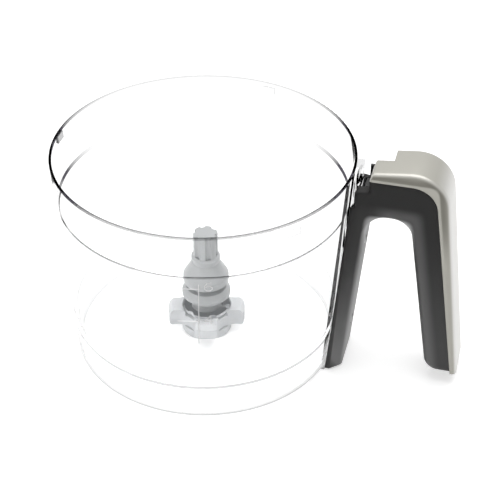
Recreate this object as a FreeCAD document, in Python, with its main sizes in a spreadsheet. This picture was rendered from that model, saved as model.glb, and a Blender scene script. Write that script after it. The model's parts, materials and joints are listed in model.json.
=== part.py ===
import FreeCAD, Part
import math
import os

import Sketcher
from FreeCAD import Placement, Rotation, Vector

# A food processor bowl: a clear tapered bowl with a foot skirt, a two-legged
# handle with a satin cover, a drive spindle held in a bearing in the floor, and
# a sprung rod in the handle that tells the machine that the lid is locked.
# The origin is on the bowl's axis in the plane of its foot, +Z is up, and the
# handle points along +X. Lengths are in millimetres.

# The driving dimensions. Each one is a cell of the sheet, and every sketch and
# solid takes its sizes from there.
SIZES = {
    # The clear bowl: heights are above the foot, radii are to the outside.
    "bowl_height": 132.0,
    "rim_radius": 88.0,
    "foot_radius": 80.9,
    "bowl_wall": 2.2,
    "floor_top": 21.5,
    "floor_thickness": 2.5,
    "floor_corner": 4.0,
    "ledge_drop": 27.8,
    "ledge_width": 0.7,
    "rim_rounding": 0.5,
    "hub_radius": 13.2,
    "hub_rise": 4.7,
    "hub_bore": 9.5,
    "collar_radius": 37.0,
    "collar_wall": 2.2,
    "collar_lift": 1.0,
    # The clear rail and rim bracket that carry the handle.
    "rail_foot": 2.0,
    "rail_head": 3.4,
    "rail_half_foot": 21.4,
    "rail_half_head": 17.2,
    "rail_drop": 14.0,
    "bracket_depth": 4.4,
    "bracket_drop": 1.6,
    "bracket_slot": 1.7,
    "bracket_slot_half": 11.0,
    "bracket_slot_depth": 9.0,
    "boss_radius": 3.6,
    "boss_length": 3.2,
    "pilot_radius": 1.25,
    "low_screw": 26.0,
    "high_screw_drop": 46.0,
    # The lid lugs under the rim.
    "lug_width": 8.0,
    "lug_height": 4.4,
    "lug_reach": 1.8,
    "lug_drop": 4.0,
    # The drive spindle and its shaft.
    "shaft_radius": 4.0,
    "shaft_foot": 3.4,
    "shaft_socket_drop": 6.7,
    "spindle_foot": 37.0,
    "spindle_top": 72.7,
    "spline_radius": 7.4,
    "spline_length": 15.5,
    "flute_radius": 2.1,
    "flute_depth": 1.4,
    "neck_radius": 8.8,
    "neck_chamfer": 1.2,
    "neck_length": 2.2,
    "waist_radius": 8.4,
    "waist_length": 1.2,
    "waist_step": 1.0,
    "waist_slope": 1.8,
    "dome_radius": 14.0,
    "dome_foot": 38.5,
    "dome_shoulder": 43.0,
    "dome_slope_radius": 11.9,
    "dome_slope_rise": 3.6,
    "dome_rounding": 1.6,
    "dome_wall": 1.9,
    "spindle_hub": 6.6,
    # The bearing housing in the floor.
    "housing_flange": 15.0,
    "housing_top": 34.0,
    "housing_foot": 15.9,
    "flange_chamfer": 1.4,
    "flange_height": 3.6,
    "flange_step": 2.4,
    "flange_rounding": 1.0,
    "neck_clearance": 0.1,
    "gasket_thickness": 1.0,
    "gasket_width": 3.4,
    "bush_wall": 2.0,
    "bush_length": 7.0,
    "running_clearance": 0.05,
    "seal_height": 2.4,
    "seal_width": 3.2,
    "nut_radius": 14.0,
    "nut_height": 2.8,
    "nut_chamfer": 0.6,
    "scallop_radius": 3.0,
    "scallop_aside": 1.6,
    # The drive coupling under the floor.
    "coupling_radius": 24.0,
    "coupling_drop": 0.8,
    "coupling_foot": 1.6,
    "lobe_foot": 7.0,
    "lobe_chamfer": 1.2,
    "lobe_shoulder": 2.2,
    "lobe_gap_radius": 12.3,
    "lobe_gap_centre": 26.4,
    "socket_radius": 15.2,
    "skirt_radius": 15.5,
    "skirt_wall": 2.2,
    "hub_web": 7.4,
    "washer_radius": 8.5,
    "washer_thickness": 1.0,
    "washer_play": 0.1,
    "ring_radius": 6.6,
    "ring_thickness": 0.9,
    "groove_depth": 0.5,
    # The handle: leg lines lean by so much for each millimetre of height.
    "handle_half": 14.6,
    "skirt_rise": 3.0,
    "cover_rise": 7.6,
    "cover_slope": 0.12,
    "cover_gap": 5.8,
    "cover_end_lean": 1.4,
    "cover_wall": 2.2,
    "cover_bend": 21.0,
    "cover_edge": 3.2,
    "cover_end_rounding": 1.2,
    "skirt_bend": 15.0,
    "leg_reach": 71.6,
    "leg_lean": 0.13,
    "leg_end": 7.5,
    "seam_depth": 3.6,
    "seam_lean": 0.155,
    "palm_depth": 18.9,
    "palm_lean": 0.165,
    "root_depth": 8.7,
    "root_flare": 0.0287,
    "head_depth": 23.8,
    "arch_bend": 12.0,
    "grip_edge": 4.0,
    "toe_bend": 9.0,
    "grip_foot": 1.0,
    "flare_foot": 20.8,
    "flare_head": 16.6,
    "head_inset": 0.4,
    "sill_drop": 7.0,
    "recess_depth": 15.0,
    "recess_side": 9.0,
    "piece_clearance": 0.2,
    "notch_length": 11.2,
    "notch_side": 1.0,
    # The lid interlock in the handle.
    "rod_radius": 1.5,
    "rod_offset": 8.0,
    "rod_depth": 5.6,
    "rod_flare": 0.02,
    "rod_foot": 5.0,
    "rod_hold": 2.2,
    "rod_travel": 4.0,
    "rod_chamfer": 0.5,
    "seat_drop": 14.2,
    "spring_radius": 2.3,
    "spring_wire": 0.3,
    "spring_turns": 5.0,
    "spring_play": 0.05,
    "guide_radius": 2.9,
    "guide_length": 4.0,
    "clip_radius": 2.6,
    "clip_thickness": 0.8,
    "bezel_drop": 7.5,
    "bezel_plate": 2.2,
    "cheek_rise": 1.1,
    "cheek_wall": 1.4,
    "cheek_reach": 3.4,
    "button_length": 8.6,
    "button_width": 8.6,
    "button_rise": 4.0,
    "button_step": 2.6,
    "button_ramp": 2.4,
    "button_clearance": 0.4,
    # The screws that hold the handle and its cover.
    "screw_radius": 1.2,
    "screw_head": 2.9,
    "screw_head_height": 2.0,
    "screw_head_rounding": 0.4,
    "screw_length": 7.0,
    "cover_screw_length": 14.0,
    "cover_screw_height": 26.0,
    "cover_boss_radius": 3.4,
    "cover_boss_length": 6.6,
}

LUG_DIRECTIONS = {"back": 78.7, "left": 179.7, "front": -41.3}
COUPLING_TURN = 15.0

doc = FreeCAD.newDocument("FoodProcessorBowl")
exported = []


class Size:
    """A length that knows its number and the sheet expression that gives it."""

    def __init__(self, number, text):
        self.number = number
        self.text = text

    def __add__(self, other):
        other = as_size(other)
        return Size(self.number + other.number, f"({self.text} + {other.text})")

    def __radd__(self, other):
        return as_size(other) + self

    def __sub__(self, other):
        other = as_size(other)
        return Size(self.number - other.number, f"({self.text} - {other.text})")

    def __rsub__(self, other):
        return as_size(other) - self

    def __mul__(self, other):
        other = as_size(other)
        return Size(self.number * other.number, f"({self.text} * {other.text})")

    def __rmul__(self, other):
        return as_size(other) * self

    def __truediv__(self, other):
        other = as_size(other)
        return Size(self.number / other.number, f"({self.text} / {other.text})")

    def __neg__(self):
        return Size(-self.number, f"(-{self.text})")


def as_size(value):
    """A plain number as a Size, and a Size as it is."""
    if isinstance(value, Size):
        return value
    return Size(float(value), f"{float(value):.6f}")


class Sheet:
    """The sheet of driving dimensions, whose cells are read by their names."""

    def __init__(self, sizes):
        self.cells = doc.addObject("Spreadsheet::Sheet", "Sizes")
        for row, (name, number) in enumerate(sizes.items(), start=1):
            self.cells.set(f"A{row}", name)
            self.cells.set(f"B{row}", str(number))
            self.cells.setAlias(f"B{row}", name)
            setattr(self, name, Size(number, f"Sizes.{name}"))


d = Sheet(SIZES)
doc.recompute()


def bind(item, name, value):
    """Gives a property its number and ties it to the sheet."""
    value = as_size(value)
    item.setExpression(name, value.text)


def place(item, x=0.0, y=0.0, z=0.0, rotation=None):
    """Puts an object somewhere, with its place tied to the sheet."""
    if rotation is not None:
        item.Placement = Placement(Vector(), rotation)
    for axis, value in (("x", x), ("y", y), ("z", z)):
        if isinstance(value, Size) or value:
            bind(item, f"Placement.Base.{axis}", value)


def new_body(label):
    """An empty body with its own label."""
    body = doc.addObject("PartDesign::Body", label)
    body.Label = label
    return body


def sketch_on(body, name, role, offset=None):
    """A sketch on one of the body's own origin planes, moved along its normal."""
    sketch = body.newObject("Sketcher::SketchObject", name)
    plane = next(item for item in body.Origin.OriginFeatures if item.Role == role)
    sketch.AttachmentSupport = [(plane, "")]
    sketch.MapMode = "FlatFace"
    if offset is not None:
        bind(sketch, "AttachmentOffset.Base.z", offset)
    return sketch


def hold(sketch, kind, element, point, value, name):
    """Fixes one coordinate of a point of a sketch, from the sketch's origin."""
    value = as_size(value)
    if abs(value.number) < 1e-9:
        axis = -2 if kind == "DistanceX" else -1
        sketch.addConstraint(Sketcher.Constraint("PointOnObject", element, point, axis))
        return
    index = sketch.addConstraint(
        Sketcher.Constraint(kind, -1, 1, element, point, value.number)
    )
    sketch.renameConstraint(index, name)
    bind(sketch, f"Constraints.{name}", value)


def polygon(sketch, points, bends=None):
    """A closed outline through points tied to the sheet, with some corners rounded."""
    points = [(as_size(x), as_size(y)) for x, y in points]
    corners = [Vector(x.number, y.number, 0) for x, y in points]
    first = sketch.GeometryCount
    count = len(points)
    for index, corner in enumerate(corners):
        following = corners[(index + 1) % count]
        sketch.addGeometry(Part.LineSegment(corner, following), False)
    for index, (x, y) in enumerate(points):
        line = first + index
        following = first + (index + 1) % count
        sketch.addConstraint(Sketcher.Constraint("Coincident", line, 2, following, 1))
        hold(sketch, "DistanceX", line, 1, x, f"across_{line}")
        hold(sketch, "DistanceY", line, 1, y, f"along_{line}")
    for index, radius in (bends or {}).items():
        round_corner(sketch, corners, first, index, as_size(radius))


def round_corner(sketch, corners, first, index, radius):
    """Rounds one corner of an outline, and keeps the corner's place as a point."""
    count = len(corners)
    corner = corners[index]
    towards = [(corners[index - 1] - corner).normalize(),
               (corners[(index + 1) % count] - corner).normalize()]
    opening = towards[0].getAngle(towards[1])
    reach = radius.number / math.tan(opening / 2)
    before = first + (index - 1) % count
    arc = sketch.GeometryCount
    sketch.fillet(before, first + index, corner + towards[0] * reach,
                  corner + towards[1] * reach, radius.number, True, True)
    constraint = sketch.addConstraint(Sketcher.Constraint("Radius", arc, radius.number))
    sketch.renameConstraint(constraint, f"bend_{arc}")
    bind(sketch, f"Constraints.bend_{arc}", radius)


def circle(sketch, radius, x=0.0, y=0.0):
    """A circle tied to the sheet."""
    radius, x, y = as_size(radius), as_size(x), as_size(y)
    centre = Vector(x.number, y.number, 0)
    index = sketch.GeometryCount
    sketch.addGeometry(Part.Circle(centre, Vector(0, 0, 1), radius.number), False)
    hold(sketch, "DistanceX", index, 3, x, f"across_{index}")
    hold(sketch, "DistanceY", index, 3, y, f"along_{index}")
    constraint = sketch.addConstraint(
        Sketcher.Constraint("Radius", index, radius.number)
    )
    sketch.renameConstraint(constraint, f"radius_{index}")
    bind(sketch, f"Constraints.radius_{index}", radius)


def feature(body, kind, name, sketch):
    """A sketch-based feature of a body, not yet sized."""
    item = body.newObject(f"PartDesign::{kind}", name)
    item.Profile = sketch
    sketch.Visibility = False
    return item


def turned(body, name, points, kind="Revolution"):
    """Turns an outline, given as radius and height, about the body's Z axis."""
    sketch = sketch_on(body, f"{name}_outline", "XZ_Plane")
    polygon(sketch, points)
    item = feature(body, kind, name, sketch)
    item.ReferenceAxis = (sketch, ["V_Axis"])
    item.Angle = 360.0
    doc.recompute()
    return item


def turned_about(body, name, axis, points, kind="Revolution", aside=0.0, bends=None):
    """Turns an outline about a line of its own plane, which lies aside of the XZ plane."""
    sketch = sketch_on(body, f"{name}_outline", "XZ_Plane", offset=-as_size(aside))
    polygon(sketch, points, bends)
    start, end = [(as_size(x), as_size(y)) for x, y in axis]
    line = sketch.GeometryCount
    sketch.addGeometry(Part.LineSegment(
        Vector(start[0].number, start[1].number, 0),
        Vector(end[0].number, end[1].number, 0)), True)
    for point, (x, y) in ((1, start), (2, end)):
        hold(sketch, "DistanceX", line, point, x, f"axis_across_{point}")
        hold(sketch, "DistanceY", line, point, y, f"axis_along_{point}")
    item = feature(body, kind, name, sketch)
    item.ReferenceAxis = (sketch, ["Axis0"])
    item.Angle = 360.0
    doc.recompute()
    return item


def padded(body, name, sketch, length, both_ways=False, reverse=False):
    """Pushes a sketch out of its plane, or out of both sides of it."""
    item = feature(body, "Pad", name, sketch)
    bind(item, "Length", length)
    item.SideType = "Symmetric" if both_ways else "One side"
    item.Reversed = reverse
    doc.recompute()
    return item


def pocketed(body, name, sketch, length=None, both_ways=False, reverse=False):
    """Cuts a sketch into the body, to a length or through all."""
    check_states()
    before = body.Shape.Volume
    item = feature(body, "Pocket", name, sketch)
    if length is None:
        item.Type = "ThroughAll"
    else:
        bind(item, "Length", length)
    item.SideType = "Symmetric" if both_ways else "One side"
    item.Reversed = reverse
    doc.recompute()
    if body.Shape.Volume >= before - 1e-6:
        raise RuntimeError(f"{name} cuts nothing")
    return item


def edge_names(shape, wanted):
    """Names of the edges whose middle and direction the test accepts."""
    names = []
    for index, edge in enumerate(shape.Edges, start=1):
        if edge.Length < 1e-6:
            continue
        middle = edge.valueAt((edge.FirstParameter + edge.LastParameter) / 2)
        ends = edge.Vertexes
        along = Vector()
        if len(ends) == 2:
            along = (ends[1].Point - ends[0].Point).normalize()
        if wanted(middle, along):
            names.append(f"Edge{index}")
    return names


def rounded(body, name, radius, wanted):
    """Rounds the edges of the body's last feature that the test accepts."""
    base = body.Tip
    names = edge_names(base.Shape, wanted)
    if not names:
        raise RuntimeError(f"{name} found no edges")
    item = body.newObject("PartDesign::Fillet", name)
    item.Base = (base, names)
    bind(item, "Radius", radius)
    doc.recompute()
    return item


def repeated(body, name, item, count, axis_role="Z_Axis"):
    """Repeats a feature evenly about an axis of the body."""
    pattern = body.newObject("PartDesign::PolarPattern", name)
    axis = next(part for part in body.Origin.OriginFeatures if part.Role == axis_role)
    pattern.Originals = [item]
    pattern.Axis = (axis, [""])
    pattern.Angle = 360.0
    pattern.Occurrences = count
    body.Tip = pattern
    doc.recompute()
    return pattern


def check_states():
    """Stops with the name of the first object that did not come out right."""
    for item in doc.Objects:
        if "Invalid" in item.State or "Error" in item.State:
            raise RuntimeError(f"{item.Label} failed: {item.State}")


def near(value, target, slack=0.05):
    """Whether a number is about as large as a size."""
    return abs(value - as_size(target).number) < slack


def keep(item, label):
    """Names an object for its file and puts it on the list to write."""
    item.Label = label
    exported.append((label, item))
    return item


def washer(label, inner, outer, low, high):
    """A flat or tall ring about the Z axis."""
    body = new_body(label)
    turned(body, f"{label}_ring", [(inner, low), (outer, low), (outer, high), (inner, high)])
    return keep(body, label)


def cylinder(name, radius, length):
    """A plain cylinder along Z."""
    item = doc.addObject("Part::Cylinder", name)
    bind(item, "Radius", radius)
    bind(item, "Height", length)
    return item


def block(name, length, width, height):
    """A plain block from its lowest corner."""
    item = doc.addObject("Part::Box", name)
    bind(item, "Length", length)
    bind(item, "Width", width)
    bind(item, "Height", height)
    return item


def joined(name, items):
    """Several solids fused into one."""
    item = doc.addObject("Part::MultiFuse", name)
    item.Shapes = items
    item.Refine = True
    return item


def shared(name, items):
    """What several solids have in common."""
    item = doc.addObject("Part::MultiCommon", name)
    item.Shapes = items
    return item


def without(name, base, tool):
    """One solid less another."""
    item = doc.addObject("Part::Cut", name)
    item.Base = base
    item.Tool = tool
    return item


# Places that several pieces share.

ALONG_X = Rotation(Vector(0, 1, 0), 90)
# How far a cutting outline runs past what it cuts.
PAST = 2.0

rim_wall = d.bowl_wall - d.ledge_width
wall_lean = (d.rim_radius - d.foot_radius) / d.bowl_height
ledge_height = d.bowl_height - d.ledge_drop
floor_foot = d.floor_top - d.floor_thickness
rail_top = d.bowl_height - d.rail_drop
bracket_top = d.bowl_height - d.bracket_drop
bracket_reach = d.rim_radius + d.bracket_depth
high_screw = d.bowl_height - d.high_screw_drop

hub_top = d.floor_top + d.hub_rise
flange_foot = hub_top + d.gasket_thickness
housing_neck = d.hub_bore - d.neck_clearance
bush_radius = d.shaft_radius + d.running_clearance + d.bush_wall
shaft_top = d.spindle_top - d.shaft_socket_drop
spline_foot = d.spindle_top - d.spline_length
coupling_top = floor_foot - d.coupling_drop
socket_floor = d.housing_foot - d.washer_play - d.washer_thickness
ring_foot = d.hub_web - d.ring_thickness

skirt_line = d.bowl_height + d.skirt_rise
cover_end = bracket_reach + d.cover_gap
cover_foot_x = d.rim_radius + d.leg_reach
tongue_half = d.handle_half - d.cover_wall
tongue_end = cover_end + d.cover_end_lean + d.cover_wall + d.piece_clearance
head_end = cover_end + d.head_inset
arch_top = skirt_line - d.head_depth
sill_top = skirt_line - d.sill_drop
recess_floor = skirt_line - d.recess_depth
notch_end = cover_end + d.notch_length
bezel_top = skirt_line - d.bezel_drop
bezel_foot = bezel_top - d.bezel_plate

root_lean = wall_lean + d.root_flare
rod_lean = wall_lean + d.rod_flare
button_top = bezel_top + d.button_rise
button_foot = recess_floor - d.button_step
well_floor = button_foot - d.rod_travel - d.button_clearance
guide_foot = well_floor - d.guide_length
spring_seat = arch_top - d.seat_drop
clip_foot = guide_foot - d.running_clearance - d.clip_thickness
rod_high = button_foot + d.rod_hold


def wall_at(height):
    """Outer radius of the tapered bowl at a height."""
    return d.foot_radius + wall_lean * height


def rail_at(height):
    """Radius of the rail's outer face at a height."""
    thickness = d.rail_foot + (d.rail_head - d.rail_foot) * height / rail_top
    return wall_at(height) + thickness


def cover_at(height):
    """X of the cover's outer face along the long leg."""
    return cover_foot_x - d.leg_lean * height


def top_at(across):
    """Height of the cover's top, which rises away from the bowl."""
    return d.bowl_height + d.cover_rise + d.cover_slope * (across - cover_end)


def seam_at(height):
    """X of the line where the cover's side meets the grip along the long leg."""
    return cover_foot_x - d.seam_depth - d.seam_lean * height


def palm_at(height):
    """X of the long leg's finger side."""
    return cover_foot_x - d.palm_depth - d.palm_lean * height


def root_at(height):
    """X of the short leg's finger side."""
    return d.foot_radius + d.root_depth + root_lean * height


def rod_at(height):
    """X of the interlock rod's axis."""
    return d.foot_radius + d.rod_depth + rod_lean * height


button_start = head_end + d.button_clearance
button_end = button_start + d.button_length
button_heel = rod_at(button_foot) - d.rod_radius - d.piece_clearance


# The clear bowl.

def bowl_shell():
    """Wall, lid ledge, floor, hub, collar and foot skirt, turned in one outline."""
    body = new_body("bowl_shell")
    turned(body, "shell", [
        (wall_at(0), 0),
        (d.rim_radius, d.bowl_height),
        (d.rim_radius - rim_wall, d.bowl_height),
        (wall_at(ledge_height) - rim_wall, ledge_height),
        (wall_at(ledge_height) - d.bowl_wall, ledge_height),
        (wall_at(d.floor_top) - d.bowl_wall, d.floor_top),
        (d.hub_radius, d.floor_top),
        (d.hub_radius, hub_top),
        (d.hub_bore, hub_top),
        (d.hub_bore, floor_foot),
        (d.collar_radius - d.collar_wall, floor_foot),
        (d.collar_radius - d.collar_wall, d.collar_lift),
        (d.collar_radius, d.collar_lift),
        (d.collar_radius, floor_foot),
        (wall_at(floor_foot) - d.bowl_wall, floor_foot),
        (wall_at(0) - d.bowl_wall, 0),
    ])
    corner = wall_at(d.floor_top) - d.bowl_wall
    rounded(body, "floor_rounding", d.floor_corner,
            lambda at, along: near(at.z, d.floor_top) and near(math.hypot(at.x, at.y), corner))
    rounded(body, "rim_edges", d.rim_rounding,
            lambda at, along: near(at.z, d.bowl_height))
    return body


def handle_rail():
    """The rail on the wall and the bracket at the rim, between tapering sides."""
    ring = new_body("rail_ring")
    turned(ring, "rail", [
        (wall_at(0) - rim_wall / 2, 0),
        (wall_at(0) + d.rail_foot, 0),
        (rail_at(rail_top), rail_top),
        (bracket_reach, rail_top),
        (bracket_reach, bracket_top),
        (wall_at(bracket_top) - rim_wall / 2, bracket_top),
    ])
    wedge = new_body("rail_wedge")
    sketch = sketch_on(wedge, "rail_front", "YZ_Plane")
    polygon(sketch, [
        (-d.rail_half_foot, 0),
        (d.rail_half_foot, 0),
        (d.rail_half_head, bracket_top),
        (-d.rail_half_head, bracket_top),
    ])
    padded(wedge, "rail_sides", sketch, bracket_reach + PAST)
    return shared("handle_rail", [ring, wedge])


def screw_boss(name, height):
    """A boss on the rail that takes a handle screw."""
    item = cylinder(name, d.boss_radius, d.boss_length + d.rail_head)
    place(item, x=rail_at(height) - d.rail_head, z=height, rotation=ALONG_X)
    return item


def screw_pilot(name, height):
    """The screw's hole in a boss, which stops before the bowl's inside."""
    item = cylinder(name, d.pilot_radius, d.boss_length + d.rail_head)
    place(item, x=rail_at(height) - d.rail_foot, z=height, rotation=ALONG_X)
    return item


def lid_lug(name, direction):
    """A small lug outside the rim that the lid turns under."""
    item = block(f"{name}_lug", d.lug_reach + rim_wall / 2, d.lug_width, d.lug_height)
    turn = math.radians(direction)
    low = d.bowl_height - d.lug_drop - d.lug_height
    inner = wall_at(low) - rim_wall / 2
    place(item,
          x=inner * math.cos(turn) + d.lug_width / 2 * math.sin(turn),
          y=inner * math.sin(turn) - d.lug_width / 2 * math.cos(turn),
          z=low,
          rotation=Rotation(Vector(0, 0, 1), direction))
    return item


def make_bowl():
    """The bowl moulding with its rail, bracket, bosses and lugs."""
    lugs = [lid_lug(name, direction) for name, direction in LUG_DIRECTIONS.items()]
    bosses = [screw_boss("low_boss", d.low_screw), screw_boss("high_boss", high_screw)]
    moulding = joined("moulding", [bowl_shell(), handle_rail()] + bosses + lugs)
    slot = block("bracket_opening", d.bracket_slot, 2 * d.bracket_slot_half,
                 d.bracket_slot_depth + PAST)
    place(slot,
          x=(d.rim_radius + bracket_reach - d.bracket_slot) / 2,
          y=-d.bracket_slot_half,
          z=bracket_top - d.bracket_slot_depth)
    holes = joined("bowl_holes", [
        slot,
        screw_pilot("low_pilot", d.low_screw),
        screw_pilot("high_pilot", high_screw),
    ])
    keep(without("bowl", moulding, holes), "bowl")


# The drive spindle and what holds it in the floor.

def make_spindle():
    """The grey spindle: a splined head on a collar, over a dome that sheds liquid."""
    body = new_body("spindle")
    neck_top = spline_foot - d.neck_chamfer
    neck_foot = neck_top - d.neck_length
    waist_foot = neck_foot - d.waist_length
    turned(body, "spindle_form", [
        (d.shaft_radius, d.spindle_foot),
        (d.spindle_hub, d.spindle_foot),
        (d.spindle_hub, d.dome_shoulder),
        (d.dome_radius - d.dome_wall, d.dome_shoulder - d.dome_wall),
        (d.dome_radius - d.dome_wall, d.dome_foot),
        (d.dome_radius, d.dome_foot),
        (d.dome_radius, d.dome_shoulder),
        (d.dome_slope_radius, d.dome_shoulder + d.dome_slope_rise),
        (d.waist_radius + d.waist_step, waist_foot - d.waist_slope),
        (d.waist_radius, waist_foot),
        (d.neck_radius, neck_foot),
        (d.neck_radius, neck_top),
        (d.spline_radius, spline_foot),
        (d.spline_radius, d.spindle_top),
        (0, d.spindle_top),
        (0, shaft_top),
        (d.shaft_radius, shaft_top),
    ])
    sketch = sketch_on(body, "flute_outline", "XY_Plane", offset=d.spindle_top)
    circle(sketch, d.flute_radius, x=d.spline_radius - d.flute_depth + d.flute_radius)
    flute = pocketed(body, "flute", sketch, d.spline_length)
    repeated(body, "flutes", flute, 6)
    rounded(body, "dome_rounding", d.dome_rounding,
            lambda at, along: near(at.z, d.dome_shoulder) and near(math.hypot(at.x, at.y), d.dome_radius))
    keep(body, "spindle")


def make_shaft():
    """The steel shaft through the spindle, the bushes and the coupling."""
    body = new_body("drive_shaft")
    sketch = sketch_on(body, "shaft_section", "XY_Plane", offset=d.shaft_foot)
    circle(sketch, d.shaft_radius)
    padded(body, "shaft_length", sketch, shaft_top - d.shaft_foot)
    turned(body, "ring_groove", [
        (d.shaft_radius - d.groove_depth, ring_foot),
        (d.shaft_radius + PAST, ring_foot),
        (d.shaft_radius + PAST, d.hub_web),
        (d.shaft_radius - d.groove_depth, d.hub_web),
    ], kind="Groove")
    keep(body, "drive_shaft")


def make_housing():
    """The bearing housing: a flange on the hub, a neck through the floor."""
    body = new_body("bearing_housing")
    turned(body, "housing_form", [
        (bush_radius, d.housing_foot),
        (housing_neck, d.housing_foot),
        (housing_neck, flange_foot),
        (d.housing_flange - d.flange_chamfer, flange_foot),
        (d.housing_flange, flange_foot + d.flange_chamfer),
        (d.housing_flange, flange_foot + d.flange_height),
        (d.housing_flange - d.flange_step, d.housing_top),
        (bush_radius, d.housing_top),
    ])
    rounded(body, "flange_rounding", d.flange_rounding,
            lambda at, along: near(math.hypot(at.x, at.y), d.housing_flange)
            and near(at.z, flange_foot + d.flange_height))
    keep(body, "bearing_housing")


def make_bearing_parts():
    """Gasket, nut, bushes, seal and thrust washer around the shaft."""
    washer("hub_gasket", housing_neck, housing_neck + d.gasket_width, hub_top, flange_foot)
    washer("lower_bush", bush_radius - d.bush_wall, bush_radius,
           d.housing_foot, d.housing_foot + d.bush_length)
    washer("upper_bush", bush_radius - d.bush_wall, bush_radius,
           d.housing_top - d.bush_length, d.housing_top)
    bore = d.shaft_radius + d.running_clearance
    washer("shaft_seal", bore, bore + d.seal_width, d.housing_top, d.housing_top + d.seal_height)
    washer("thrust_washer", bore, d.washer_radius,
           socket_floor, socket_floor + d.washer_thickness)
    washer("retaining_ring", d.shaft_radius - d.groove_depth, d.ring_radius, ring_foot, d.hub_web)


def make_nut():
    """The nut under the floor that clamps the housing, with six finger flats."""
    body = new_body("housing_nut")
    foot = floor_foot - d.nut_height
    turned(body, "nut_form", [
        (housing_neck, foot),
        (d.nut_radius - d.nut_chamfer, foot),
        (d.nut_radius, foot + d.nut_chamfer),
        (d.nut_radius, floor_foot),
        (housing_neck, floor_foot),
    ])
    sketch = sketch_on(body, "scallop_outline", "XY_Plane", offset=floor_foot)
    circle(sketch, d.scallop_radius, x=d.nut_radius + d.scallop_aside)
    scallop = pocketed(body, "scallop", sketch)
    repeated(body, "scallops", scallop, 6)
    keep(body, "housing_nut")


def make_coupling():
    """The four-lobed coupling that drops into the machine's drive."""
    body = new_body("drive_coupling")
    turned(body, "coupling_form", [
        (d.shaft_radius, d.hub_web),
        (d.skirt_radius - d.skirt_wall, d.hub_web),
        (d.skirt_radius - d.skirt_wall, d.coupling_foot),
        (d.skirt_radius, d.coupling_foot),
        (d.skirt_radius, d.lobe_foot),
        (d.coupling_radius - d.lobe_chamfer, d.lobe_foot),
        (d.coupling_radius, d.lobe_foot + d.lobe_chamfer),
        (d.coupling_radius, coupling_top - d.lobe_shoulder),
        (d.coupling_radius - d.lobe_shoulder, coupling_top),
        (d.socket_radius, coupling_top),
        (d.socket_radius, socket_floor),
        (d.shaft_radius, socket_floor),
    ])
    sketch = sketch_on(body, "gap_outline", "XY_Plane", offset=d.lobe_foot)
    turn = math.radians(COUPLING_TURN + 45)
    circle(sketch, d.lobe_gap_radius,
           x=d.lobe_gap_centre * math.cos(turn), y=d.lobe_gap_centre * math.sin(turn))
    gap = pocketed(body, "lobe_gap", sketch, coupling_top, reverse=True)
    repeated(body, "lobe_gaps", gap, 4)
    keep(body, "drive_coupling")


# The handle.

def cover_outline(inset):
    """Outer line of the cover, or of what lies inside its wall, from foot to bend to end."""
    leg_x = cover_foot_x - inset
    slope = d.cover_slope
    start = d.bowl_height + d.cover_rise - inset - slope * cover_end
    bend_height = (start + slope * leg_x) / (1 + slope * d.leg_lean)
    return [
        (cover_at(d.leg_end) - inset, d.leg_end + inset),
        (leg_x - d.leg_lean * bend_height, bend_height),
    ]


def on_outer_side(at):
    """Whether a point of the cover's side lies on its outer line and not on its seam."""
    height = as_size(at.z)
    middle = (cover_at(height).number + seam_at(height).number) / 2
    return at.x > middle or at.z > skirt_line.number + 1


def make_cover():
    """The satin cover: a C-shaped shell over the top and down the long leg."""
    body = new_body("handle_cover")
    sketch = sketch_on(body, "cover_side", "XZ_Plane")
    end_top = cover_end + d.cover_end_lean
    polygon(sketch, cover_outline(0) + [
        (end_top, top_at(end_top)),
        (cover_end, skirt_line),
        (seam_at(skirt_line), skirt_line),
        (seam_at(d.leg_end), d.leg_end),
    ], bends={1: d.cover_bend, 4: d.skirt_bend})
    padded(body, "cover_block", sketch, 2 * d.handle_half, both_ways=True)
    rounded(body, "cover_edges", d.cover_edge,
            lambda at, along: near(abs(at.y), d.handle_half) and on_outer_side(at)
            and at.x > end_top.number + 1 and at.z > d.leg_end.number + 1)
    rounded(body, "cover_end_edge", d.cover_end_rounding,
            lambda at, along: near(at.x, end_top) and near(at.z, top_at(end_top))
            and abs(along.y) > 0.9)
    sketch = sketch_on(body, "cover_inside", "XZ_Plane")
    hollow_end = end_top + d.cover_wall
    polygon(sketch, cover_outline(d.cover_wall) + [
        (hollow_end, top_at(hollow_end) - d.cover_wall),
        (hollow_end, skirt_line - PAST),
        (seam_at(skirt_line) - d.skirt_bend, skirt_line - PAST),
        (seam_at(d.leg_end) - d.skirt_bend, d.leg_end + d.cover_wall),
    ], bends={1: d.cover_bend - d.cover_wall})
    pocketed(body, "cover_hollow", sketch, 2 * tongue_half, both_ways=True)
    sketch = sketch_on(body, "cover_notch_side", "XZ_Plane", offset=-d.notch_side)
    above = top_at(notch_end) + PAST
    polygon(sketch, [
        (cover_end - PAST, skirt_line - PAST),
        (notch_end, skirt_line - PAST),
        (notch_end, above),
        (cover_end - PAST, above),
    ])
    pocketed(body, "cover_notch", sketch, d.handle_half + PAST)
    height = d.cover_screw_height
    axis = [(0, height), (cover_foot_x, height)]
    face = cover_at(height) - d.cover_wall
    turned_about(body, "cover_boss", axis, [
        (face - d.cover_boss_length, height),
        (face - d.cover_boss_length, height + d.cover_boss_radius),
        (face + d.cover_wall / 2, height + d.cover_boss_radius),
        (face + d.cover_wall / 2, height),
    ])
    turned_about(body, "cover_pilot", axis, [
        (face - d.cover_boss_length - PAST, height),
        (face - d.cover_boss_length - PAST, height + d.pilot_radius),
        (face - d.piece_clearance, height + d.pilot_radius),
        (face - d.piece_clearance, height),
    ], kind="Groove")
    keep(body, "handle_cover")


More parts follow.
